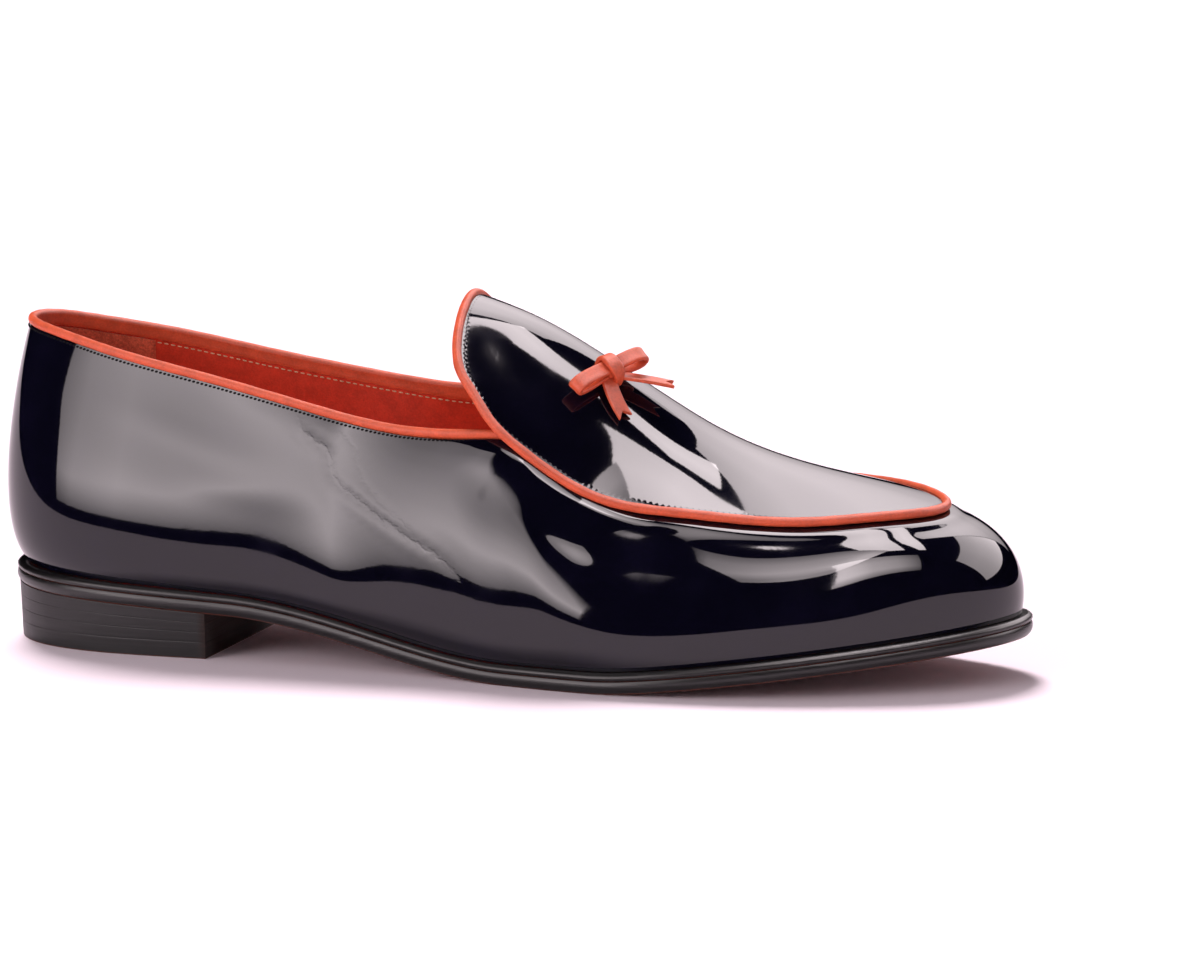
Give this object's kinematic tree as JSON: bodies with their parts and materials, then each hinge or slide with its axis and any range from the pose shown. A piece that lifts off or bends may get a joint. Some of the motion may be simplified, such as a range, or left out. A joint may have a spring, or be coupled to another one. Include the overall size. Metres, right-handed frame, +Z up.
{
  "type": "belgian loafer",
  "caption": "Right belgian loafer: black patent upper, apron and tongue edged with orange piping, small leather bow, leather sole with a low stacked heel.",
  "frame": {"origin": "middle of the shoe's box, on the floor", "axes": "+X from heel to toe, +Y to the inner side of the foot, +Z up"},
  "size_m": [0.3026, 0.0988, 0.1045],
  "materials": {
    "black_patent": "mirror-like black patent leather",
    "orange_leather": "smooth orange leather, satin",
    "orange_lining": "orange lining leather, matt, suede at the heel",
    "black_sole_edge": "black inked and waxed sole edge",
    "brown_sole_leather": "red-brown sole leather, black inked at the edge",
    "black_heel": "black inked stacked leather, with a rubber top piece"
  },
  "bodies": {
    "root": {"upper": "black_patent", "apron": "black_patent", "apron_piping": "orange_leather", "collar_binding": "orange_leather", "bow_knot": "orange_leather", "bow_loop_near": "orange_leather", "bow_loop_far": "orange_leather", "bow_tail_near": "orange_leather", "bow_tail_far": "orange_leather", "insole": "orange_lining", "midsole": "black_sole_edge", "outsole": "brown_sole_leather", "heel_lift_1": "black_heel", "heel_lift_2": "black_heel", "heel_lift_3": "black_heel", "heel_top_piece": "black_heel"}
  },
  "joints": []
}
